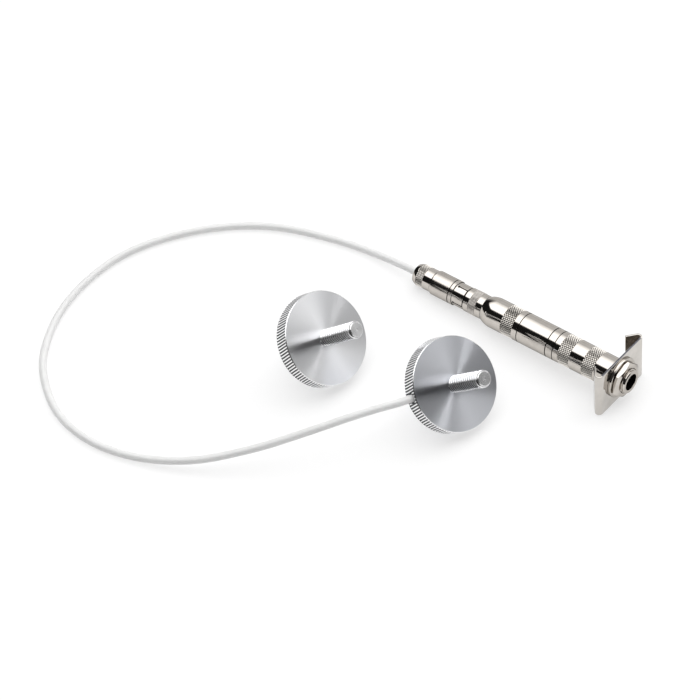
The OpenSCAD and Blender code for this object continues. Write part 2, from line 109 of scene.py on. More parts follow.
NECK_Z = 0.25
NECK_KNURL_Z = 2.8
NECK_FRONT_Z = 5.9
REAR_Z = 8.7
NECK_R = 4.75
NECK_STEP = 0.1
NECK_ROOT_R = 4.4
NECK_ROOT_LEN = 4.0
SOCKET_RING_R = 3.85
SOCKET_RING_Z = -6.0
SOCKET_BORE_R = 3.3
JACK_R = 5.875
JACK_WALL = 0.8
DOME_R = 4.8
DOME_LEN = 4.4
SEAM_Z = 39.0
FRONT_THREAD_R = 5.2
FRONT_THREAD_Z = 35.0
HOLLOW_R = 4.6
PLATE_REAR_Z = 67.5
PLATE_Z = 68.3
BUSHING_R = 4.75
BUSHING_REAR_Z = 56.5
BUSHING_EDGE = 0.4
BORE_R = 3.2
NUT_Z = 69.5
NUT_T = 2.4
MOUTH_Z = 73.2
NUT_FLATS = 12.7
NUT_TURN = 15.0
WASHER_R = 7.8
PLATE_W = 27.0
PLATE_SIDE = 1.3
PLATE_H = 19.2
PLATE_DROP = 0.8
PLATE_T = 0.8
BEND_R = 0.8
BEND_ANGLE = 140.0
FOLD_LEN = 4.4
LEAF_Y = 3.5
WIRE_R = 0.6
SOCKET_TAIL_Z = 12.2
TERMINAL_REAR_Z = 37.0

# Knurls: where each starts and ends along the jack, how many rows it has, how deep it is, and the gaps beside it
CLAMP_KNURL = (-21.75, -18.7, 7)
CLAMP_DEPTH = 0.22
NECK_ROWS = 8
NECK_DEPTH = 0.1
REAR_KNURL = (18.65, 23.65, 10)
REAR_DEPTH = 0.28
FRONT_KNURLS = ((44.5, 49.4, 10), (55.1, 60.05, 10))
FINE_DEPTH = 0.24
RIM_ROWS = 2
RIM_DEPTH = 0.4
BAND_GAP = 0.05
BARREL_GAP = 0.06

# Where the grooves lie along the jack, and the threads, which the solids have as plain cylinders. The clamp nut and
# the bushing have the fine pitch.
PLUG_GROOVE_Z = -6.5
REAR_GROOVE_Z = 26.05
FRONT_GROOVE_Z = 42.1
STUD_PITCH = 1.27
STUD_ROOT_R = 2.8
FINE_PITCH = 0.8
CLAMP_THREAD_DEPTH = 0.35
BUSHING_THREAD_DEPTH = 0.38
THREAD_RUN_OUT = 0.2

# Small edges, gaps and chamfers that only the looks need. A rounded edge is a row of pairs: how far inside the
# radius a ring lies, and how far along from the edge's height.
STUD_CENTRE_DEPTH = 0.06
POST_CENTRE_R = 0.3
POST_CHAMFER = 0.15
DRILL_PAST = 0.6
COVER_REAR = ((0.12, 0), (0.02, 0.1))
COVER_GAP = 0.02
LIP_ROUND = ((0, -0.2), (0.06, -0.06), (0.2, 0))
LIP_CHAMFER = 0.15
CLAMP_FACE = 1.1
CLAMP_LIP = 0.15
CLAMP_RISE = 0.65
CLAMP_BAND_STEP = 0.02
CLAMP_CHAMFER = 0.25
PLUG_REAR_ROUND = ((0.25, 0), (0.06, 0.12), (0, 0.35))
PLUG_FRONT_RUN = 0.2
PLUG_FRONT_ROUND = ((0.12, -0.03), (0.2, 0))
SLEEVE_RUN = 0.1
SLEEVE_CHAMFER = 0.08
SLIT_PAST = 0.5
SOCKET_CHAMFER = 0.15
NECK_CHAMFER = 0.35
NECK_REAR_ROUND = (0.2, 0.25)
SEAM_EDGE = 0.2
SEAM_PLAY = 0.5
BAND_STEP = 0.03
FRONT_CHAMFER = 0.15
MOUTH_THREAD = 0.8
MOUTH_PLAIN = 0.65
MOUTH_STEP = 0.12
MOUTH_ROUND = ((-0.15, 0), (-0.04, -0.06))
MOUTH_EDGE = 0.2
WASHER_REAR_ROUND = ((0.2, 0), (0.05, 0.08), (0, 0.22))
WASHER_FRONT_ROUND = ((0, -0.3), (0.1, -0.08), (0.3, 0))
SHEET_DRILL_PAST = 1.0
SHEET_BEVEL = 0.2
NUT_COUNTERSINK = 0.25

# Half the width of a thread's crest and root in turns, the radii of the stud's centre mark as shares of its tip,
# and that of the nut's flat face as a share of its width across flats
CREST = 0.12
STUD_CREST = 0.3
ROOT = 0.04
STUD_CENTRE = (0.2, 0.14)
NUT_FACE = 0.47

# Angles in degrees: of the sleeve's slits, of the nut's chamfer and from which the sheet is bevelled. Then the
# steps of a bevel, and how squarely a face of the sheet has to look sideways to count as sheared.
SLIT_TURNS = (5, 95)
NUT_SLOPE = 30.0
BEVEL_FROM = 40.0
BEVEL_STEPS = 3
SHEARED_FROM = 0.9

# How full the curves of the two shoulders are: the power of their fall from the full radius
DOME_POWER = 2.2
CLAMP_POWER = 1.5

# The light: how bright each part of it is, which way it lies, and the values between which its edge fades
DARK = 0.012
WALL = 0.80
WALL_AZIMUTH = math.radians(45)
WALL_FADE = (0.3, 0.7)
PANEL = 2.2
PANEL_LOW_FADE = (0.02, 0.1)
PANEL_LEFT_FADE = (-1.0, -0.8)
PANEL_NEAR_FADE = (-0.7, -0.45)
PANEL_FAR_FADE = (0.45, 1.55)
PANEL_SLANT_FADE = (-0.72, -0.42)
FRONT = 0.05
FRONT_TOWARD = (-0.1, -0.72, 0.69)
FRONT_FADE = (0.78, 0.94)
LAMP = 10.5
LAMP_TOWARD = (0.763, -0.56, 0.324)
LAMP_FADE = (0.9978, 0.999)
FLOOR_GLOW = 0.6
FLOOR_REACH = 12.0

# Where the wheels and the jack lie: leaning on their posts, and on the bracket and the clamp nut
PICKUP_AT = (-5.2, -18.8)
PICKUP_TURN = -46.3
PLAIN_AT = (-51.5, 2.9)
PLAIN_TURN = -38.9
JACK_AT = (57.2, -13.4)
LEAN = math.degrees(math.atan(POST_LEN / (WHEEL_R - POST_R)))
REST_H = max(
    WHEEL_R * math.sin(math.radians(LEAN)) - WHEEL_EDGE * math.cos(math.radians(LEAN)),
    (WHEEL_R - WHEEL_EDGE) * math.sin(math.radians(LEAN)),
)
BEND_OUT = BEND_R + PLATE_T
FOLD_BACK = BEND_OUT * (1 - math.cos(math.radians(BEND_ANGLE))) + FOLD_LEN * math.sin(math.radians(BEND_ANGLE))
REST_RUN = PLATE_Z - FOLD_BACK - CLAMP_REAR_Z - CLAMP_ROUND
PLATE_LOW = PLATE_H / 2 + PLATE_DROP
REST_RISE = PLATE_LOW - CLAMP_R + CLAMP_ROUND
TILT = math.degrees(
    math.atan(REST_RISE / REST_RUN) - math.asin(CLAMP_ROUND / math.hypot(REST_RUN, REST_RISE))
)
JACK_H = PLATE_LOW * math.cos(math.radians(TILT)) + FOLD_BACK * math.sin(math.radians(TILT))
JACK_HEADING = 38.8


def spun(axis, degrees):
    """A turn about an axis."""
    return Matrix.Rotation(math.radians(degrees), 4, axis)


PICKUP = Matrix.Translation((*PICKUP_AT, REST_H)) @ spun("Z", PICKUP_TURN) @ spun("Y", LEAN)
PLAIN = Matrix.Translation((*PLAIN_AT, REST_H)) @ spun("Z", PLAIN_TURN) @ spun("Y", LEAN)
JACK = (
    Matrix.Translation((*JACK_AT, JACK_H))
    @ spun("Z", 90 - JACK_HEADING)
    @ spun("X", 90 - TILT)
    @ Matrix.Translation((0, 0, -PLATE_Z))
)
LEAD_HOLE = PICKUP @ spun("Z", LEAD_TURN) @ Matrix.Translation((0, 0, WHEEL_T / 2)) @ spun("Y", 90)


# ---- camera ----
VIEW_ELEVATION = 47.75
VIEW_DISTANCE = 1180.0
VIEW_TARGET = Vector((-39.6, 9.26, 0))
VIEW_LENS = 165.96
SENSOR_WIDTH = 36.0
VIEW_NEAR, VIEW_FAR = 0.05, 50.0
camera_data = bpy.data.cameras.new("camera")
camera_data.lens = VIEW_LENS
camera_data.sensor_width = SENSOR_WIDTH
camera_data.clip_start = VIEW_NEAR
camera_data.clip_end = VIEW_FAR
camera = bpy.data.objects.new("camera", camera_data)
bpy.context.scene.collection.objects.link(camera)
view_back = Vector((0, -math.cos(math.radians(VIEW_ELEVATION)), math.sin(math.radians(VIEW_ELEVATION))))
camera.location = (VIEW_TARGET + VIEW_DISTANCE * view_back) * MM
camera.rotation_euler = (math.radians(90 - VIEW_ELEVATION), 0, 0)
bpy.context.scene.camera = camera
bpy.context.scene.view_settings.view_transform = "Standard"


# ---- materials ----
# How detailed the noise is in colour, polish and relief, and how much finer than the colour's the other two are
CLOUD_DETAIL = 4.0
POLISH_DETAIL = 3.0
RELIEF_DETAIL = 2.0
POLISH_FINER = 3
RELIEF_FINER = 8
RELIEF_STRENGTH = 0.25
# Lathe marks per metre, and the quarter turn that lays a sheen across them
RINGS_PER_METRE = 9000.0
ACROSS = 0.25
# Where in a knurl's depth its colour changes from painted shade in the grooves to a painted highlight on the
# points, and its grain and range of polish
KNURL_SHADE_SPAN = (0.22, 0.36)
RIM_SHADE_SPAN = (0.40, 0.62)
KNURL_GRAIN = 1.2
KNURL_POLISH = (0.28, 0.34)


def tree_of(name):
    """A new material with its nodes, links and main shader."""
    material = bpy.data.materials.new(name)
    material.use_nodes = True
    nodes, links = material.node_tree.nodes, material.node_tree.links
    return material, nodes, links, nodes["Principled BSDF"]


def noise(nodes, links, scale, detail, stretch=(1, 1, 1)):
    """A noise field over the piece's own coordinates, at a scale per millimetre."""
    where = nodes.new("ShaderNodeTexCoord")
    mapping = nodes.new("ShaderNodeMapping")
    mapping.inputs["Scale"].default_value = [MM_PER_METRE * s for s in stretch]
    field = nodes.new("ShaderNodeTexNoise")
    field.inputs["Scale"].default_value = scale
    field.inputs["Detail"].default_value = detail
    links.new(where.outputs["Object"], mapping.inputs["Vector"])
    links.new(mapping.outputs["Vector"], field.inputs["Vector"])
    return field.outputs["Fac"]


def ramp(nodes, links, value, low, high, at=(0.3, 0.7)):
    """Two greys or colours spread over a field."""
    node = nodes.new("ShaderNodeValToRGB")
    for element, place, colour in zip(node.color_ramp.elements, at, (low, high)):
        element.position = place
        element.color = (*colour, 1) if isinstance(colour, tuple) else (colour, colour, colour, 1)
    links.new(value, node.inputs["Fac"])
    return node.outputs["Color"]


def bump(nodes, links, shader, value, distance):
    """Lets a field roughen a surface, by a distance in millimetres."""
    node = nodes.new("ShaderNodeBump")
    node.inputs["Strength"].default_value = RELIEF_STRENGTH
    node.inputs["Distance"].default_value = distance * MM
    links.new(value, node.inputs["Height"])
    links.new(node.outputs["Normal"], shader.inputs["Normal"])


def from_axis(nodes, links):
    """The distance from the piece's own axis."""
    where = nodes.new("ShaderNodeTexCoord")
    flat = nodes.new("ShaderNodeVectorMath")
    flat.operation = "MULTIPLY"
    flat.inputs[1].default_value = (1, 1, 0)
    links.new(where.outputs["Object"], flat.inputs[0])
    radius = nodes.new("ShaderNodeVectorMath")
    radius.operation = "LENGTH"
    links.new(flat.outputs["Vector"], radius.inputs[0])
    return radius.outputs["Value"]


def metal(name, dark, light, smooth, rough, grain=0.4, stretch=(1, 1, 1), grazing=1.0):
    """Plated or bare metal: a faint cloud of colour and of polish. grazing dims what it mirrors at its outline."""
    material, nodes, links, shader = tree_of(name)
    shader.inputs["Metallic"].default_value = 1.0
    shader.inputs["Specular Tint"].default_value = (grazing, grazing, grazing, 1)
    field = noise(nodes, links, grain, CLOUD_DETAIL, stretch)
    links.new(ramp(nodes, links, field, dark, light), shader.inputs["Base Color"])
    polish = noise(nodes, links, POLISH_FINER * grain, POLISH_DETAIL, stretch)
    links.new(ramp(nodes, links, polish, smooth, rough), shader.inputs["Roughness"])
    return material


def turned(name, dark, light, smooth, rough, anisotropy):
    """A face cut on a lathe: rings of slightly different polish, and a sheen that runs across them."""
    material, nodes, links, shader = tree_of(name)
    shader.inputs["Metallic"].default_value = 1.0
    shader.inputs["Anisotropic"].default_value = anisotropy
    shader.inputs["Anisotropic Rotation"].default_value = ACROSS
    rings = nodes.new("ShaderNodeTexNoise")
    rings.noise_dimensions = "1D"
    rings.inputs["Scale"].default_value = RINGS_PER_METRE
    rings.inputs["Detail"].default_value = CLOUD_DETAIL
    links.new(from_axis(nodes, links), rings.inputs["W"])
    links.new(ramp(nodes, links, rings.outputs["Fac"], dark, light), shader.inputs["Base Color"])
    links.new(ramp(nodes, links, rings.outputs["Fac"], smooth, rough), shader.inputs["Roughness"])
    tangent = nodes.new("ShaderNodeTangent")
    tangent.direction_type = "RADIAL"
    tangent.axis = "Z"
    links.new(tangent.outputs["Tangent"], shader.inputs["Tangent"])
    return material


def knurled(name, r, depth, groove, crest, polish=KNURL_POLISH, span=KNURL_SHADE_SPAN):
    """A knurl or thread: painted shade in its grooves and a painted highlight on its points."""
    material, nodes, links, shader = tree_of(name)
    shader.inputs["Metallic"].default_value = 1.0
    height = nodes.new("ShaderNodeMapRange")
    height.inputs["From Min"].default_value = (r - depth) * MM
    height.inputs["From Max"].default_value = r * MM
    links.new(from_axis(nodes, links), height.inputs["Value"])
    links.new(ramp(nodes, links, height.outputs["Result"], groove, crest, span), shader.inputs["Base Color"])
    cloud = noise(nodes, links, KNURL_GRAIN, POLISH_DETAIL)
    links.new(ramp(nodes, links, cloud, *polish), shader.inputs["Roughness"])
    return material


def plastic(name, dark, light, smooth, rough, grain=0.6, relief=0.01):
    """Plastic, rubber, vinyl or ceramic: a cloud of colour and of polish, and a fine relief in millimetres."""
    material, nodes, links, shader = tree_of(name)
    field = noise(nodes, links, grain, CLOUD_DETAIL)
    links.new(ramp(nodes, links, field, dark, light), shader.inputs["Base Color"])
    links.new(ramp(nodes, links, field, smooth, rough), shader.inputs["Roughness"])
    bump(nodes, links, shader, noise(nodes, links, RELIEF_FINER * grain, RELIEF_DETAIL), relief)
    return material


NICKEL = metal("nickel_polished", (0.54, 0.505, 0.465), (0.59, 0.555, 0.515), 0.06, 0.10, grazing=0.5)
NICKEL_SATIN = metal("nickel_satin", (0.51, 0.475, 0.44), (0.56, 0.525, 0.485), 0.13, 0.17, grazing=0.5)
NICKEL_SHEET = metal("nickel_sheet", (0.54, 0.515, 0.48), (0.60, 0.57, 0.535), 0.08, 0.14, 0.25)
# Dark: the sheet's sheared edges, and painted shade on the socket's ring and on the neck's rounded rear edge
NICKEL_SHEARED_AND_SHADE = metal("nickel_sheared_and_shade", (0.07, 0.07, 0.08), (0.15, 0.15, 0.17), 0.25, 0.40, 1.0, (1, 0.2, 1))
# Darker: painted shade on the back of the sheet and the insides of its folds
NICKEL_BACK_PAINTED_SHADE = metal("nickel_back_painted_shade", (0.30, 0.275, 0.25), (0.36, 0.33, 0.30), 0.10, 0.16, 0.25)
# Near black: painted shade in bores, grooves and gaps, and on the seam's chamfers
NICKEL_PAINTED_SHADE = metal("nickel_painted_shade", (0.014, 0.013, 0.012), (0.032, 0.030, 0.028), 0.4, 0.55)
FACE_PLAIN = turned("turned_face_plain", (0.88, 0.885, 0.90), (0.94, 0.945, 0.96), 0.285, 0.30, 0.95)
FACE_WIRED = turned("turned_face_wired", (0.70, 0.715, 0.755), (0.76, 0.775, 0.815), 0.31, 0.335, 1.0)
EDGE = metal("wheel_edge", (0.84, 0.84, 0.85), (0.92, 0.92, 0.92), 0.16, 0.26, 0.8)
STUD_END = turned("stud_end", (0.66, 0.66, 0.67), (0.80, 0.80, 0.80), 0.22, 0.32, 0.6)
GOLD = metal("gold_plate", (0.78, 0.60, 0.26), (0.88, 0.71, 0.36), 0.16, 0.26)
BRASS = metal("contact_brass", (0.62, 0.45, 0.18), (0.76, 0.58, 0.28), 0.22, 0.36)
COPPER = metal("copper", (0.60, 0.30, 0.17), (0.76, 0.44, 0.28), 0.26, 0.4, 1.0, (1, 1, 0.2))
CERAMIC = plastic("ceramic", (0.70, 0.66, 0.58), (0.86, 0.83, 0.76), 0.5, 0.65)
FIBRE = plastic("fibre_board", (0.20, 0.11, 0.06), (0.36, 0.21, 0.12), 0.5, 0.7)
RUBBER = plastic("black_rubber", (0.012, 0.012, 0.012), (0.03, 0.03, 0.03), 0.45, 0.65)
WHITE_VINYL = plastic("white_vinyl", (0.80, 0.80, 0.795), (0.85, 0.85, 0.845), 0.28, 0.40, 0.3, 0.004)
RED_VINYL = plastic("red_vinyl", (0.42, 0.03, 0.03), (0.56, 0.06, 0.05), 0.35, 0.5)
WHITE_PLASTIC = plastic("white_plastic", (0.82, 0.82, 0.80), (0.90, 0.90, 0.88), 0.4, 0.55)

# Painted shade at the bottom of the grooves and a painted highlight on the points of the thread, the rim and the
# knurls
GROOVE_SHADE_NICKEL = (0.06, 0.056, 0.052)
CREST_HIGHLIGHT_NICKEL = (0.86, 0.82, 0.765)
THREAD = knurled(
    "stud_thread", STUD_R, STUD_R - STUD_ROOT_R, (0.08, 0.08, 0.083), (0.84, 0.84, 0.845), (0.18, 0.22)
)
RIM = knurled("wheel_rim", WHEEL_R, RIM_DEPTH, (0.05, 0.05, 0.055), (0.95, 0.95, 0.955), span=RIM_SHADE_SPAN)
NICKEL_CLAMP = knurled("nickel_clamp_knurl", CLAMP_R, CLAMP_DEPTH, GROOVE_SHADE_NICKEL, CREST_HIGHLIGHT_NICKEL)
NICKEL_NECK = knurled("nickel_neck_knurl", NECK_R, NECK_DEPTH, (0.26, 0.245, 0.23), (0.66, 0.62, 0.58))
NICKEL_REAR = knurled("nickel_rear_knurl", JACK_R, REAR_DEPTH, GROOVE_SHADE_NICKEL, CREST_HIGHLIGHT_NICKEL)
NICKEL_FINE = knurled("nickel_fine_knurl", JACK_R, FINE_DEPTH, (0.16, 0.15, 0.14), CREST_HIGHLIGHT_NICKEL)


# ---- building round pieces ----
# Which of its materials a span of a piece has: on a wheel, on a stud, post or cover, on a knurled piece of the
# jack, on a piece of it without a knurl, and on the bracket; those for insides and the sheet's back, and the neck's
# third, hold painted shade
WHEEL_FACE, WHEEL_RIM, WHEEL_SIDE = 0, 1, 2
POST_SIDE, POST_END = 0, 1
COVER_EDGE = 1
KNURLED, KNURLED_PAINTED_SHADE, NECK_PAINTED_SHADE = 1, 2, 2
PLAIN_PAINTED_SHADE = 1
SHEET, SHEARED, SHEET_BACK_PAINTED_SHADE = 0, 1, 2


def in_metres(place):
    """A place in millimetres as one in metres."""
    m = place.copy()
    m.translation = place.translation * MM
    return m


def put(name, mesh, materials, place, body, slot, *nodes):
    """Puts a piece in place, lets it ride on its body and stand for its nodes."""
    for material in materials:
        mesh.materials.append(material)
    piece = bpy.data.objects.new(name, mesh)
    bpy.context.scene.collection.objects.link(piece)
    piece.matrix_world = in_metres(place)
    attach(piece, body)
    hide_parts(*nodes)
    return piece


def finished(name, bm, sharp=SHARP):
    """A mesh with smooth sides and crisp corners, in metres."""
    bmesh.ops.remove_doubles(bm, verts=bm.verts, dist=WELD)
    bmesh.ops.dissolve_degenerate(bm, edges=bm.edges, dist=WELD)
    bmesh.ops.recalc_face_normals(bm, faces=bm.faces)
    bmesh.ops.scale(bm, vec=(MM, MM, MM), verts=bm.verts)
    mesh = bpy.data.meshes.new(name)
    bm.to_mesh(mesh)
    bm.free()
    shade(mesh, sharp)
    return mesh


def shade(mesh, sharp=SHARP):
    """Shades a mesh smooth, with sharp edges from an angle up."""
    mesh.shade_smooth()
    mesh.set_sharp_from_angle(angle=math.radians(sharp))


def ring(r, z, material=0, row=None):
    """One ring of a turned piece: radius and height, each one number or one per column.
    material covers the span to the next ring, and row counts the rings of a crossed knurl."""
    return r, z, material, row


SLANTED = -1


def per_column(value, columns):
    """A number for every column, whether one is given or all."""
    return value if isinstance(value, list) else [value] * columns


def knurl(r, depth, z0, z1, rows, columns, material, slanted=False):
    """Rings of a knurl with its points at radius r and its grooves one depth below.
    The grooves cross, or all of them slant one way."""
    rings = []
    for j in range(rows + 1):
        radii = [r - depth if (i + j) % 2 == 0 else r for i in range(columns)]
        row = SLANTED if slanted else j
        rings.append(ring(radii, z0 + (z1 - z0) * j / rows, material, row if j < rows else None))
    return rings


def shoulder(r, z, rise, run, power):
    """Rings of a shoulder from radius r - rise at height z out to radius r at height z + run."""
    backs = [1 - i / ROUND_STEPS for i in range(ROUND_STEPS + 1)]
    return [ring(r - rise * b**power, z + run * (1 - b)) for b in backs]


def edge(r, z, steps, material=0):
    """Rings of a rounded edge at radius r and height z, given as pairs."""
    return [ring(r - fall, z + run, material) for fall, run in steps]


def groove(r, z, inside):
    """Rings of a narrow groove centred on a height, whose walls and floor take the material inside: painted shade.
    """
    half = GROOVE_W / 2
    return [
        ring(r, z - half, inside),
        ring(r - GROOVE_DEPTH, z - half / 2, inside),
        ring(r - GROOVE_DEPTH, z + half / 2, inside),
        ring(r, z + half),
    ]


def supported(rings, ends):
    """Adds rings close to both ends of each long span, so that smooth shading leaves its middle straight."""
    out = []
    for j, (r, z, material, row) in enumerate(rings):
        out.append(rings[j])
        if j + 1 == len(rings) and ends != "ring":
            break
        next_r, next_z, _, _ = rings[(j + 1) % len(rings)]
        if any(isinstance(value, list) for value in (r, z, next_r, next_z)):
            continue
        run = math.hypot(next_r - r, next_z - z)
        if run > 4 * SUPPORT:
            for t in (SUPPORT / run, 1 - SUPPORT / run):
                out.append(ring(r + t * (next_r - r), z + t * (next_z - z), material))
    return out


def lathe(columns, rings, ends="ring", bm=None):
    """Joins rings in order. ends is ring, where the last one joins the first, cap, or open."""
    bm = bm or bmesh.new()
    rings = supported(rings, ends)
    circle = [(math.cos(TAU * i / columns), math.sin(TAU * i / columns)) for i in range(columns)]
    rows = []
    for r, z, _, _ in rings:
        spots = zip(circle, per_column(r, columns), per_column(z, columns))
        rows.append([bm.verts.new((radius * c, radius * s, height)) for (c, s), radius, height in spots])
    for j in range(len(rings) if ends == "ring" else len(rings) - 1):
        low, high = rows[j], rows[(j + 1) % len(rows)]
        _, _, material, row = rings[j]
        for i in range(columns):
            k = (i + 1) % columns
            a, b, c, d = low[i], low[k], high[k], high[i]
            if row is None:
                faces = [(a, b, c, d)]
            elif row != SLANTED and (i + row) % 2 == 0:
                faces = [(a, b, c), (a, c, d)]
            else:
                faces = [(a, b, d), (b, c, d)]
            for face in faces:
                bm.faces.new(face).material_index = material
    if ends == "cap":
        bm.faces.new(rows[0]).material_index = rings[0][2]
        bm.faces.new(rows[-1]).material_index = rings[-1][2]
    return bm


def helix(bm, columns, r, root_r, pitch, z0, z1, crest=CREST, cone=None):
    """A V thread between two heights, which ends in a plain ring of radius root_r at each.
    crest is half the width of its flat crest in turns, and cone gives the largest radius at a height."""
    steps = [(-crest, r), (crest, r), (0.5 - ROOT, root_r), (0.5 + ROOT, root_r)]
    turns = range(-2, math.ceil((z1 - z0) / pitch) + 2)
    grid = []
    for i in range(columns):
        column = []
        for turn in turns:
            for offset, radius in steps:
                z = z0 + pitch * (turn + offset + i / columns)
                if not z0 < z < z1:
                    z, radius = min(max(z, z0), z1), root_r
                if cone:
                    radius = min(radius, cone(z))
                angle = TAU * i / columns
                column.append(bm.verts.new((radius * math.cos(angle), radius * math.sin(angle), z)))
        grid.append(column)
    for i in range(columns):
        lift = 0 if i + 1 < columns else len(steps)
        here, there = grid[i], grid[(i + 1) % columns]
        for k in range(len(here) - lift - 1):
            bm.faces.new((here[k], there[k + lift], there[k + lift + 1], here[k + 1]))


def baked(piece, sharp=SHARP):
    """Makes the result of a piece's modifiers its mesh."""
    graph = bpy.context.evaluated_depsgraph_get()
    mesh = bpy.data.meshes.new_from_object(piece.evaluated_get(graph))
    old = piece.data
    piece.modifiers.clear()
    piece.data = mesh
    mesh.name = old.name
    bpy.data.meshes.remove(old)
    shade(mesh, sharp)


def cut(piece, place, *meshes):
    """Takes the shapes of some meshes, in the frame of place, out of a piece."""
    cutters = []
    for mesh in meshes:
        cutter = bpy.data.objects.new("cutter", mesh)
        bpy.context.scene.collection.objects.link(cutter)
        cutter.matrix_world = in_metres(place)
        modifier = piece.modifiers.new("cut", "BOOLEAN")
        modifier.operation = "DIFFERENCE"
        modifier.solver = "EXACT"
        modifier.object = cutter
        cutters.append(cutter)
    baked(piece)
    for cutter, mesh in zip(cutters, meshes):
        bpy.data.objects.remove(cutter)
        bpy.data.meshes.remove(mesh)


def drill(r, z0, z1):
    """A mesh for a round hole."""
    return finished("drill", lathe(HOLE_COLUMNS, [ring(r, z0), ring(r, z1)], "cap"))


# ---- the lead ----
def pickup_point(r):
    """A point of the lead's line out of the wired wheel, at a radius."""
    angle = math.radians(LEAD_TURN)
    return PICKUP @ Vector((r * math.cos(angle), r * math.sin(angle), WHEEL_T / 2))


def jack_point(z):
    """A point of the jack's axis."""
    return JACK @ Vector((0, 0, z))


LEAD_LOOP = [
    (-27.8, -34.6, 18.5), (-38.8, -38.6, 18.0), (-48.8, -41.6, 16.0), (-59.3, -43.6, 13.0),
    (-69.8, -45.6, 10.0), (-79.8, -46.6, 7.5), (-90.8, -47.6, 5.0), (-101.3, -47.1, 3.5),
    (-111.8, -45.1, 2.2), (-122.3, -41.6, 1.6), (-131.8, -36.6, 1.5), (-140.3, -29.1, 1.5),
    (-146.3, -20.1, 1.5), (-149.8, -9.6, 1.5), (-151.8, 0.9, 1.5), (-150.8, 11.9, 1.5),
    (-148.3, 22.4, 1.5), (-144.3, 32.4, 1.5), (-138.3, 41.9, 1.5), (-131.3, 50.4, 1.5),
    (-123.3, 57.4, 1.5), (-113.8, 62.9, 1.5), (-103.8, 66.9, 1.5), (-93.3, 69.9, 1.5),
    (-82.3, 71.4, 1.5), (-71.3, 71.4, 1.5), (-60.3, 69.4, 1.5), (-50.3, 65.9, 1.5),
    (-39.8, 61.9, 1.5), (-30.3, 56.4, 2.0),
]
LEAD_START = (8, 13, 18, 23)
LEAD_END = (-15, -10, -5, 0, 5)


def curve_at(p, t):
    """A point of a uniform cubic B-spline segment."""
    return (
        p[0] * (1 - t) ** 3
        + p[1] * (3 * t**3 - 6 * t**2 + 4)
        + p[2] * (-3 * t**3 + 3 * t**2 + 3 * t + 1)
        + p[3] * t**3
    ) / 6


def tube(name, points, r, material, body, slot, *nodes):
    """A round wire along points in millimetres."""
    data = bpy.data.curves.new(name, "CURVE")
    data.dimensions = "3D"
    data.bevel_depth = r * MM
    data.bevel_resolution = WIRE_RESOLUTION
    data.use_fill_caps = True
    spline = data.splines.new("POLY")
    spline.points.add(len(points) - 1)
    for spot, p in zip(spline.points, points):
        spot.co = (*(p * MM), 1)
    spline.use_smooth = True
    data.materials.append(material)
    piece = bpy.data.objects.new(name, data)
    bpy.context.scene.collection.objects.link(piece)
    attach(piece, body)
    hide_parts(*nodes)
    return piece


guide = (
    [pickup_point(r) for r in LEAD_START]
    + [Vector(p) for p in LEAD_LOOP]
    + [jack_point(LEAD_END_Z + z) for z in LEAD_END]
)
route = [
    curve_at(guide[i : i + 4], k / LEAD_STEPS) for i in range(len(guide) - 3) for k in range(LEAD_STEPS)
] + [curve_at(guide[-4:], 1)]
lead = tube("lead", route, LEAD_R, WHITE_VINYL, "pickup_lead", "white_vinyl", "lead_cable")


# ---- wheels ----
def wheel_outside():
    """Rings of a wheel's outside, from its rear face over the knurled rim to its front face."""
    low, high = WHEEL_EDGE, WHEEL_T - WHEEL_EDGE
    band = (low + BAND_GAP, high - BAND_GAP, RIM_ROWS)
    return [
        ring(WHEEL_R - WHEEL_EDGE, 0, WHEEL_SIDE), ring(WHEEL_R - BAND_GAP, low, WHEEL_SIDE),
        *knurl(WHEEL_R, RIM_DEPTH, *band, RIM_COLUMNS, WHEEL_RIM, slanted=True),
        ring(WHEEL_R - BAND_GAP, high, WHEEL_SIDE), ring(WHEEL_R - WHEEL_EDGE, WHEEL_T, WHEEL_FACE),
    ]


def stud_mesh(name, root):
    """A threaded stud with a root below the wheel's face and a chamfered tip with a turned end."""
    top = WHEEL_T + STUD_LEN
    tip_r = STUD_R - STUD_TIP

    def cone(z):
        return tip_r + (top - z)

    bm = bmesh.new()
    thread_end = top - (STUD_ROOT_R - tip_r)
    helix(bm, THREAD_COLUMNS, STUD_R, STUD_ROOT_R, STUD_PITCH, WHEEL_T, thread_end, STUD_CREST, cone)
    foot = [ring(STUD_ROOT_R, WHEEL_T), ring(ROOT_R, WHEEL_T), ring(ROOT_R, WHEEL_T - root)]
    lathe(THREAD_COLUMNS, foot, "open", bm)
    dimple, dimple_floor = (share * tip_r for share in STUD_CENTRE)
    end = [
        ring(STUD_ROOT_R, thread_end, POST_END), ring(tip_r, top, POST_END),
        ring(dimple, top, POST_END), ring(dimple_floor, top - STUD_CENTRE_DEPTH, POST_END),
    ]
    lathe(THREAD_COLUMNS, end, "open", bm)
    bmesh.ops.remove_doubles(bm, verts=bm.verts, dist=WELD)
    bmesh.ops.holes_fill(bm, edges=[e for e in bm.edges if e.is_boundary])
    return finished(name, bm)


def post_mesh(name, root):
    """A smooth post behind the wheel with a chamfered end and a root in the wheel."""
    rings = [
        ring(POST_CENTRE_R, -POST_LEN, POST_END), ring(POST_R - WHEEL_EDGE, -POST_LEN, POST_END),
        ring(POST_R, WHEEL_EDGE - POST_LEN, POST_SIDE), ring(POST_R, -POST_CHAMFER, POST_SIDE),
        ring(POST_R - POST_CHAMFER, 0, POST_SIDE), ring(ROOT_R, 0, POST_SIDE), ring(ROOT_R, root, POST_SIDE),
    ]
    return finished(name, lathe(HOLE_COLUMNS, rings, "cap"))


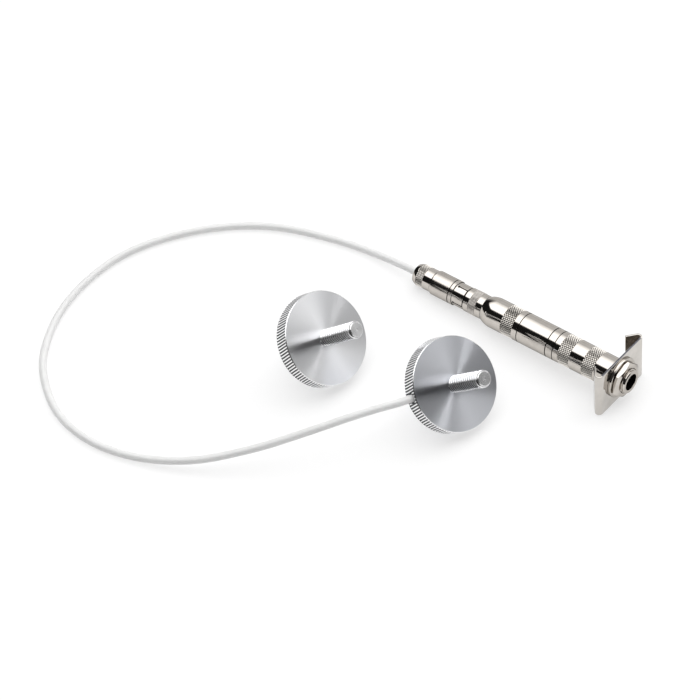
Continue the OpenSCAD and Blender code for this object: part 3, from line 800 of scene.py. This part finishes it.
plain_rings = [ring(ROOT_R, 0, WHEEL_FACE), *wheel_outside(), ring(ROOT_R, WHEEL_T, WHEEL_SIDE)]
put("plain_wheel_turned", finished("plain_wheel_turned", lathe(RIM_COLUMNS, plain_rings)),
    [FACE_PLAIN, RIM, EDGE], PLAIN, "loose_wheel", "turned_aluminium", "plain_wheel")
put("plain_stud_threaded", stud_mesh("plain_stud_threaded", WHEEL_T / 2),
    [THREAD, STUD_END], PLAIN, "loose_wheel", "stud_aluminium", "plain_stud")
put("plain_post_turned", post_mesh("plain_post_turned", WHEEL_T / 2),
    [EDGE, STUD_END], PLAIN, "loose_wheel", "turned_aluminium", "plain_post")

wired_rings = [
    ring(CAVITY_R, 0, WHEEL_FACE), *wheel_outside(), ring(ROOT_R, WHEEL_T, WHEEL_SIDE),
    ring(ROOT_R, CAVITY_DEPTH, WHEEL_FACE), ring(CAVITY_R, CAVITY_DEPTH, WHEEL_SIDE),
]
wired_wheel = put("wired_wheel_turned", finished("wired_wheel_turned", lathe(RIM_COLUMNS, wired_rings)),
                  [FACE_WIRED, RIM, EDGE], PICKUP, "pickup_lead", "wired_wheel_aluminium", "pickup_wheel")
cut(wired_wheel, LEAD_HOLE, drill(GROMMET_R, CAVITY_R - DRILL_PAST, WHEEL_R + DRILL_PAST))
cover_rings = [
    ring(ROOT_R, 0), *edge(CAVITY_R, 0, COVER_REAR, COVER_EDGE),
    ring(CAVITY_R - COVER_GAP, BACK_PLATE_T), ring(ROOT_R, BACK_PLATE_T, COVER_EDGE),
]
put("wired_back_plate", finished("wired_back_plate", lathe(TURNED_COLUMNS, cover_rings)),
    [FACE_WIRED, EDGE], PICKUP, "pickup_lead", "wired_wheel_aluminium", "pickup_back_plate")
put("wired_stud_threaded", stud_mesh("wired_stud_threaded", WHEEL_T - CAVITY_DEPTH),
    [THREAD, STUD_END], PICKUP, "pickup_lead", "stud_aluminium", "pickup_stud")
put("wired_post_turned", post_mesh("wired_post_turned", BACK_PLATE_T),
    [EDGE, STUD_END], PICKUP, "pickup_lead", "wired_wheel_aluminium", "pickup_post")
lip_z = WHEEL_R - GROMMET_SINK
lead_hole_r = LEAD_R + RUN_CLEAR
grommet_rings = [
    ring(lead_hole_r, CAVITY_R), ring(GROMMET_R, CAVITY_R), *edge(GROMMET_R, lip_z, LIP_ROUND),
    ring(lead_hole_r + LIP_CHAMFER, lip_z), ring(lead_hole_r, lip_z - LIP_CHAMFER),
]
put("lead_grommet_lipped", finished("lead_grommet_lipped", lathe(HOLE_COLUMNS, grommet_rings)),
    [RUBBER], LEAD_HOLE, "pickup_lead", "black_rubber", "lead_grommet")


# ---- plug ----
clamp_bm = bmesh.new()
thread_root = CLAMP_THREAD_R - CLAMP_THREAD_DEPTH
helix(clamp_bm, CLAMP_COLUMNS, CLAMP_THREAD_R, thread_root, FINE_PITCH, PLUG_REAR_Z, CLAMP_THREAD_END_Z)
bush_bore, lead_bore = BUSH_R + RUN_CLEAR, LEAD_R + 2 * RUN_CLEAR
clamp_run = CLAMP_KNURL[0] - CLAMP_REAR_Z - CLAMP_LIP
clamp_band = CLAMP_R - CLAMP_BAND_STEP
# Its bore, its front chamfer and its front face carry painted shade
clamp_rings = [
    ring(thread_root, CLAMP_THREAD_END_Z), ring(lead_bore, CLAMP_THREAD_END_Z, KNURLED_PAINTED_SHADE),
    ring(lead_bore, BUSH_END_Z, KNURLED_PAINTED_SHADE), ring(bush_bore, BUSH_END_Z, KNURLED_PAINTED_SHADE),
    ring(bush_bore, CLAMP_REAR_Z), ring(CLAMP_R - CLAMP_FACE, CLAMP_REAR_Z),
    *shoulder(CLAMP_R, CLAMP_REAR_Z + CLAMP_LIP, CLAMP_RISE, clamp_run, CLAMP_POWER),
    *knurl(CLAMP_R, CLAMP_DEPTH, *CLAMP_KNURL, CLAMP_COLUMNS, KNURLED),
    ring(clamp_band, CLAMP_KNURL[1] + BAND_GAP), ring(clamp_band, PLUG_REAR_Z - CLAMP_CHAMFER, KNURLED_PAINTED_SHADE),
    ring(CLAMP_R - CLAMP_CHAMFER, PLUG_REAR_Z, KNURLED_PAINTED_SHADE), ring(thread_root, PLUG_REAR_Z),
]
lathe(CLAMP_COLUMNS, clamp_rings, "open", clamp_bm)
clamp = put("plug_clamp_knurled", finished("plug_clamp_knurled", clamp_bm),
            [NICKEL, NICKEL_CLAMP, NICKEL_PAINTED_SHADE], JACK, "clamp_nut", "nickel", "plug_clamp_nut")

thread_bore = CLAMP_THREAD_R + RUN_CLEAR
# Its groove, its rounded front edge, its front face and its inside carry painted shade
barrel_rings = [
    ring(thread_bore, PLUG_REAR_Z), *edge(PLUG_R, PLUG_REAR_Z, PLUG_REAR_ROUND),
    *groove(PLUG_R, PLUG_GROOVE_Z, PLAIN_PAINTED_SHADE), ring(PLUG_R, PLUG_FRONT_Z - PLUG_FRONT_RUN),
    *edge(PLUG_R, PLUG_FRONT_Z, PLUG_FRONT_ROUND, PLAIN_PAINTED_SHADE), ring(SLEEVE_R, PLUG_FRONT_Z, PLAIN_PAINTED_SHADE),
    ring(SLEEVE_R, SLEEVE_REAR_Z, PLAIN_PAINTED_SHADE), ring(thread_bore, SLEEVE_REAR_Z, PLAIN_PAINTED_SHADE),
]
barrel = put("plug_barrel_turned", finished("plug_barrel_turned", lathe(TURNED_COLUMNS, barrel_rings)),
             [NICKEL_SATIN, NICKEL_PAINTED_SHADE], JACK, "pickup_lead", "nickel", "plug_barrel")

sleeve_bore = SLEEVE_R - SLEEVE_WALL
# Its front end and its bore carry painted shade
sleeve_rings = [
    ring(sleeve_bore, SLEEVE_REAR_Z), ring(SLEEVE_R, SLEEVE_REAR_Z), ring(SLEEVE_R, -SLEEVE_RUN),
    ring(SLEEVE_R - SLEEVE_CHAMFER, 0, PLAIN_PAINTED_SHADE), ring(sleeve_bore, 0, PLAIN_PAINTED_SHADE),
]
sleeve = put("plug_sleeve_slit", finished("plug_sleeve_slit", lathe(TURNED_COLUMNS, sleeve_rings)),
             [NICKEL, NICKEL_PAINTED_SHADE], JACK, "pickup_lead", "nickel", "plug_ground_sleeve")


def slit_mesh(turn):
    """A slit through both walls of the sleeve that ends in a round hole."""
    bm = bmesh.new()
    half = SLIT_W / 2
    low = math.acos(half / SLIT_HOLE_R)
    outline = [(half, SLIT_PAST), (-half, SLIT_PAST)]
    for i in range(SLIT_STEPS + 1):
        a = math.pi - low + (math.pi + 2 * low) * i / SLIT_STEPS
        outline.append((SLIT_HOLE_R * math.cos(a), SLIT_HOLE_R * math.sin(a) - SLIT_LEN))
    for x in (-PLUG_R, PLUG_R):
        bm.faces.new([bm.verts.new((x, y, z)) for y, z in outline])
    back, front = list(bm.faces)
    for i in range(len(outline)):
        k = (i + 1) % len(outline)
        bm.faces.new((back.verts[i], back.verts[k], front.verts[k], front.verts[i]))
    bm.transform(spun("Z", turn))
    return finished("slit", bm)


cut(sleeve, JACK, *(slit_mesh(turn) for turn in SLIT_TURNS))

nodes = frame["nodes"]


# ---- jack ----
neck_plain = NECK_R - NECK_STEP
neck_round, neck_run = NECK_REAR_ROUND
root_end_z = REAR_Z + NECK_ROOT_LEN
# The socket's ring, with its chamfer and front face, and the neck's rounded rear edge carry painted shade
neck_rings = [
    ring(SOCKET_BORE_R, SOCKET_RING_Z, NECK_PAINTED_SHADE), ring(SOCKET_RING_R - SOCKET_CHAMFER, SOCKET_RING_Z, NECK_PAINTED_SHADE),
    ring(SOCKET_RING_R, SOCKET_RING_Z + SOCKET_CHAMFER, NECK_PAINTED_SHADE), ring(SOCKET_RING_R, NECK_Z),
    ring(neck_plain - NECK_CHAMFER, NECK_Z), ring(neck_plain, NECK_Z + NECK_CHAMFER),
    ring(neck_plain, NECK_KNURL_Z - BAND_GAP),
    *knurl(NECK_R, NECK_DEPTH, NECK_KNURL_Z, NECK_FRONT_Z, NECK_ROWS, NECK_COLUMNS, KNURLED),
    ring(neck_plain, NECK_FRONT_Z + BAND_GAP), ring(neck_plain, REAR_Z - neck_run, NECK_PAINTED_SHADE),
    ring(neck_plain - neck_round, REAR_Z), ring(NECK_ROOT_R, REAR_Z),
    ring(NECK_ROOT_R, root_end_z), ring(SOCKET_BORE_R, root_end_z),
]
put("socket_neck_knurled", finished("socket_neck_knurled", lathe(NECK_COLUMNS, neck_rings)),
    [NICKEL, NICKEL_NECK, NICKEL_SHEARED_AND_SHADE], JACK, "jack", "nickel", "socket_neck")

bore = JACK_R - JACK_WALL
# Its groove, the seam's chamfer and its inside carry painted shade
rear_rings = [
    ring(NECK_ROOT_R, REAR_Z), *shoulder(JACK_R, REAR_Z, JACK_R - DOME_R, DOME_LEN, DOME_POWER),
    ring(JACK_R, REAR_KNURL[0] - BARREL_GAP),
    *knurl(JACK_R, REAR_DEPTH, *REAR_KNURL, BARREL_COLUMNS, KNURLED),
    ring(JACK_R, REAR_KNURL[1] + BARREL_GAP), *groove(JACK_R, REAR_GROOVE_Z, KNURLED_PAINTED_SHADE),
    ring(JACK_R, SEAM_Z - SEAM_EDGE, KNURLED_PAINTED_SHADE), ring(JACK_R - SEAM_EDGE, SEAM_Z, KNURLED_PAINTED_SHADE),
    ring(FRONT_THREAD_R, SEAM_Z, KNURLED_PAINTED_SHADE), ring(FRONT_THREAD_R, FRONT_THREAD_Z - SEAM_PLAY, KNURLED_PAINTED_SHADE),
    ring(bore, FRONT_THREAD_Z - SEAM_PLAY, KNURLED_PAINTED_SHADE), ring(bore, root_end_z, KNURLED_PAINTED_SHADE),
    ring(NECK_ROOT_R, root_end_z, KNURLED_PAINTED_SHADE),
]
put("rear_barrel_knurled", finished("rear_barrel_knurled", lathe(BARREL_COLUMNS, rear_rings)),
    [NICKEL, NICKEL_REAR, NICKEL_PAINTED_SHADE], JACK, "jack", "nickel", "jack_rear_barrel")

band_r = JACK_R - BAND_STEP
# The seam's chamfer, its groove and its inside carry painted shade
front_rings = [
    ring(HOLLOW_R, FRONT_THREAD_Z), ring(FRONT_THREAD_R, FRONT_THREAD_Z), ring(FRONT_THREAD_R, SEAM_Z),
    ring(JACK_R - SEAM_EDGE, SEAM_Z, KNURLED_PAINTED_SHADE), ring(JACK_R, SEAM_Z + SEAM_EDGE),
    *groove(JACK_R, FRONT_GROOVE_Z, KNURLED_PAINTED_SHADE),
]
for z0, z1, rows in FRONT_KNURLS:
    front_rings += [
        ring(band_r, z0 - BARREL_GAP),
        *knurl(JACK_R, FINE_DEPTH, z0, z1, rows, BARREL_COLUMNS, KNURLED),
        ring(band_r, z1 + BARREL_GAP),
    ]
front_rings += [
    ring(band_r, PLATE_REAR_Z - FRONT_CHAMFER), ring(JACK_R - FRONT_CHAMFER, PLATE_REAR_Z),
    ring(BUSHING_R, PLATE_REAR_Z, KNURLED_PAINTED_SHADE), ring(BUSHING_R, BUSHING_REAR_Z, KNURLED_PAINTED_SHADE),
    ring(HOLLOW_R, BUSHING_REAR_Z, KNURLED_PAINTED_SHADE),
]
put("front_barrel_knurled", finished("front_barrel_knurled", lathe(BARREL_COLUMNS, front_rings)),
    [NICKEL, NICKEL_FINE, NICKEL_PAINTED_SHADE], JACK, "jack", "nickel", "jack_front_barrel")

bushing_bm = bmesh.new()
bushing_root = BUSHING_R - BUSHING_THREAD_DEPTH
thread_from = PLATE_REAR_Z + THREAD_RUN_OUT
thread_to = MOUTH_Z - MOUTH_THREAD
helix(bushing_bm, BUSHING_COLUMNS, BUSHING_R, bushing_root, FINE_PITCH, thread_from, thread_to)
# Its bore carries painted shade
bushing_rings = [
    ring(bushing_root, thread_to), ring(BUSHING_R - MOUTH_STEP, MOUTH_Z - MOUTH_PLAIN),
    ring(BUSHING_R - MOUTH_STEP, MOUTH_Z - BUSHING_EDGE), ring(BUSHING_R - BUSHING_EDGE, MOUTH_Z),
    *edge(BORE_R, MOUTH_Z, MOUTH_ROUND), ring(BORE_R, MOUTH_Z - MOUTH_EDGE, PLAIN_PAINTED_SHADE),
    ring(BORE_R, BUSHING_REAR_Z), ring(BUSHING_R, BUSHING_REAR_Z), ring(BUSHING_R, thread_from - THREAD_RUN_OUT),
    ring(bushing_root, thread_from),
]
lathe(BUSHING_COLUMNS, bushing_rings, "open", bushing_bm)
put("jack_bushing_threaded", finished("jack_bushing_threaded", bushing_bm),
    [NICKEL, NICKEL_PAINTED_SHADE], JACK, "jack", "nickel", "jack_bushing")


def wire_point(t):
    """A point of the wire from the socket's tail to the terminal, whose ends run along the jack."""
    rise = LEAF_Y * t * t * (3 - 2 * t)
    return JACK @ Vector((0, rise, SOCKET_TAIL_Z + t * (TERMINAL_REAR_Z - SOCKET_TAIL_Z)))


wire_route = [wire_point(i / WIRE_STEPS) for i in range(WIRE_STEPS + 1)]
tube("signal_wire_sleeved", wire_route, WIRE_R, RED_VINYL, "jack", "red_vinyl", "signal_wire")


# ---- bracket, washer and nut ----
def bracket_mesh():
    """A folded sheet, swept along its outline as one strip of quads."""
    centre = Vector((PLATE_W / 2 - BEND_OUT, BEND_OUT))
    turns = [math.radians(-90 + BEND_ANGLE * i / BEND_STEPS) for i in range(BEND_STEPS + 1)]
    out = [Vector((math.cos(a), math.sin(a))) for a in turns]
    along = Vector((-out[-1].y, out[-1].x)) * FOLD_LEN
    half = [(centre + BEND_OUT * d, centre + BEND_R * d) for d in out]
    half.append((half[-1][0] + along, half[-1][1] + along))
    mirrored = [(Vector((-p.x, p.y)), Vector((-q.x, q.y))) for p, q in reversed(half)]
    bm = bmesh.new()
    rows = []
    for outer, inner in mirrored + half:
        rows.append([
            bm.verts.new((p.x + PLATE_SIDE, y - PLATE_DROP, PLATE_Z - p.y))
            for p, y in ((outer, PLATE_H / 2), (inner, PLATE_H / 2), (inner, -PLATE_H / 2), (outer, -PLATE_H / 2))
        ])
    # The inner side of the sheet, the plate's back and the insides of its folds, gets painted shade
    for low, high in zip(rows, rows[1:]):
        for i in range(4):
            k = (i + 1) % 4
            face = bm.faces.new((low[i], low[k], high[k], high[i]))
            face.material_index = SHEET_BACK_PAINTED_SHADE if i == 1 else SHEET
    bm.faces.new(rows[0])
    bm.faces.new(rows[-1])
    return finished("bracket_folded", bm)


bracket = put("bracket_folded", bracket_mesh(), [NICKEL_SHEET, NICKEL_SHEARED_AND_SHADE, NICKEL_BACK_PAINTED_SHADE],
              JACK, "bracket", "bracket_nickel", "clip_bracket")
bushing_hole = BUSHING_R + RUN_CLEAR
cut(bracket, JACK, drill(bushing_hole, PLATE_REAR_Z - SHEET_DRILL_PAST, PLATE_Z + SHEET_DRILL_PAST))
edges = bracket.modifiers.new("edges", "BEVEL")
edges.width = SHEET_BEVEL * MM
edges.segments = BEVEL_STEPS
edges.limit_method = "ANGLE"
edges.angle_limit = math.radians(BEVEL_FROM)
baked(bracket, SHEET_SHARP)
for face in bracket.data.polygons:
    spot = face.center / MM
    on_front = spot.z > PLATE_REAR_Z and abs(spot.x - PLATE_SIDE) < PLATE_W / 2 - BEND_OUT
    if on_front and abs(face.normal.y) > SHEARED_FROM:
        face.material_index = SHEARED

washer_rings = [
    ring(bushing_hole, PLATE_Z), *edge(WASHER_R, PLATE_Z, WASHER_REAR_ROUND),
    *edge(WASHER_R, NUT_Z, WASHER_FRONT_ROUND), ring(bushing_hole, NUT_Z),
]
put("washer_rounded", finished("washer_rounded", lathe(TURNED_COLUMNS, washer_rings)), [NICKEL],
    JACK, "washer", "nickel", "lock_washer")

side = NUT_COLUMNS // 6
hexagon = [NUT_FLATS / 2 / math.cos(TAU * (i % side) / NUT_COLUMNS - math.pi / 6) for i in range(NUT_COLUMNS)]
nut_top = NUT_Z + NUT_T
face_r = NUT_FACE * NUT_FLATS
slope = math.tan(math.radians(NUT_SLOPE))
nut_rings = [
    ring(bushing_hole, NUT_Z), ring(face_r, NUT_Z), ring(hexagon, [NUT_Z + (r - face_r) * slope for r in hexagon]),
    ring(hexagon, [nut_top - (r - face_r) * slope for r in hexagon]), ring(face_r, nut_top),
    ring(bushing_hole + NUT_COUNTERSINK, nut_top), ring(bushing_hole, nut_top - NUT_COUNTERSINK),
]
put("nut_chamfered", finished("nut_chamfered", lathe(NUT_COLUMNS, nut_rings)), [NICKEL],
    JACK @ spun("Z", NUT_TURN), "nut", "nickel", "hex_nut")


# ---- what stays as it was packed ----
KEPT = {
    "piezo_disc": CERAMIC, "contact_disc": BRASS, "insulating_disc": FIBRE, "wheel_core_wire": COPPER,
    "plug_cable_bush": RUBBER, "plug_core_wire": COPPER, "plug_insulator": WHITE_PLASTIC, "plug_pin": GOLD,
    "socket_insulator": WHITE_PLASTIC, "socket_contact": GOLD, "contact_carrier": FIBRE,
    "tip_terminal": BRASS, "tip_spring": GOLD,
}
for name, material in KEPT.items():
    nodes[name].data.materials.clear()
    nodes[name].data.materials.append(material)
    shade(nodes[name].data)


# ---- floor and light ----
floor_mesh = bpy.data.meshes.new("floor")
floor_mesh.from_pydata(
    [(x * FLOOR_REACH, y * FLOOR_REACH, 0) for x, y in ((-1, -1), (1, -1), (1, 1), (-1, 1))], [], [(0, 1, 2, 3)]
)
floor_material = plastic("pale_floor", (0.40, 0.40, 0.40), (0.42, 0.42, 0.42), 0.9, 1.0, 0.02, 0.0)
floor_shader = floor_material.node_tree.nodes["Principled BSDF"]
# The floor glows as well as it reflects: painted light that lightens the shadows cast on it
floor_shader.inputs["Emission Color"].default_value = (1, 1, 1, 1)
floor_shader.inputs["Emission Strength"].default_value = FLOOR_GLOW
floor_mesh.materials.append(floor_material)
floor = bpy.data.objects.new("floor", floor_mesh)
bpy.context.scene.collection.objects.link(floor)


def spread(nodes, links, value, fade, to_low, to_high):
    """A soft step from one value to another, over the two ends of a fade."""
    node = nodes.new("ShaderNodeMapRange")
    node.interpolation_type = "SMOOTHSTEP"
    for name, number in zip(("From Min", "From Max", "To Min", "To Max"), (*fade, to_low, to_high)):
        node.inputs[name].default_value = number
    links.new(value, node.inputs["Value"])
    return node.outputs["Result"]


def combine(nodes, links, operation, *values):
    """Runs some values through one kind of arithmetic."""
    total = values[0]
    for value in values[1:]:
        node = nodes.new("ShaderNodeMath")
        node.operation = operation
        links.new(total, node.inputs[0])
        links.new(value, node.inputs[1])
        total = node.outputs["Value"]
    return total


def facing(nodes, links, where, direction):
    """How closely each way of looking points in a direction."""
    node = nodes.new("ShaderNodeVectorMath")
    node.operation = "DOT_PRODUCT"
    node.inputs[1].default_value = Vector(direction).normalized()
    links.new(where, node.inputs[0])
    return node.outputs["Value"]


def light_up():
    """A broad panel overhead, a pale wall at the right rear, a dim fill and a lamp in front, dark elsewhere."""
    world = bpy.data.worlds.new("studio")
    bpy.context.scene.world = world
    world.use_nodes = True
    nodes, links = world.node_tree.nodes, world.node_tree.links
    nodes.clear()
    where = nodes.new("ShaderNodeTexCoord").outputs["Generated"]
    split = nodes.new("ShaderNodeSeparateXYZ")
    links.new(where, split.inputs["Vector"])
    x, y, z = (split.outputs[name] for name in "XYZ")
    on_x, on_y = combine(nodes, links, "DIVIDE", x, z), combine(nodes, links, "DIVIDE", y, z)
    panel = combine(
        nodes, links, "MULTIPLY",
        spread(nodes, links, z, PANEL_LOW_FADE, 0, PANEL),
        spread(nodes, links, on_x, PANEL_LEFT_FADE, 0, 1),
        spread(nodes, links, on_y, PANEL_NEAR_FADE, 0, 1),
        spread(nodes, links, on_y, PANEL_FAR_FADE, 1, 0),
        spread(nodes, links, combine(nodes, links, "SUBTRACT", on_y, on_x), PANEL_SLANT_FADE, 0, 1),
    )
    wall_toward = (math.cos(WALL_AZIMUTH), math.sin(WALL_AZIMUTH), 0)
    wall = spread(nodes, links, facing(nodes, links, where, wall_toward), WALL_FADE, DARK, WALL)
    front = spread(nodes, links, facing(nodes, links, where, FRONT_TOWARD), FRONT_FADE, 0, FRONT)
    lamp = spread(nodes, links, facing(nodes, links, where, LAMP_TOWARD), LAMP_FADE, 0, LAMP)
    glow = nodes.new("ShaderNodeBackground")
    links.new(combine(nodes, links, "ADD", panel, wall, front, lamp), glow.inputs["Strength"])
    plain = nodes.new("ShaderNodeBackground")
    path = nodes.new("ShaderNodeLightPath")
    mix = nodes.new("ShaderNodeMixShader")
    links.new(path.outputs["Is Camera Ray"], mix.inputs["Fac"])
    links.new(glow.outputs["Background"], mix.inputs[1])
    links.new(plain.outputs["Background"], mix.inputs[2])
    plain.inputs["Color"].default_value = (1, 1, 1, 1)
    glow.inputs["Color"].default_value = (1, 1, 1, 1)
    out = nodes.new("ShaderNodeOutputWorld")
    links.new(mix.outputs["Shader"], out.inputs["Surface"])


light_up()
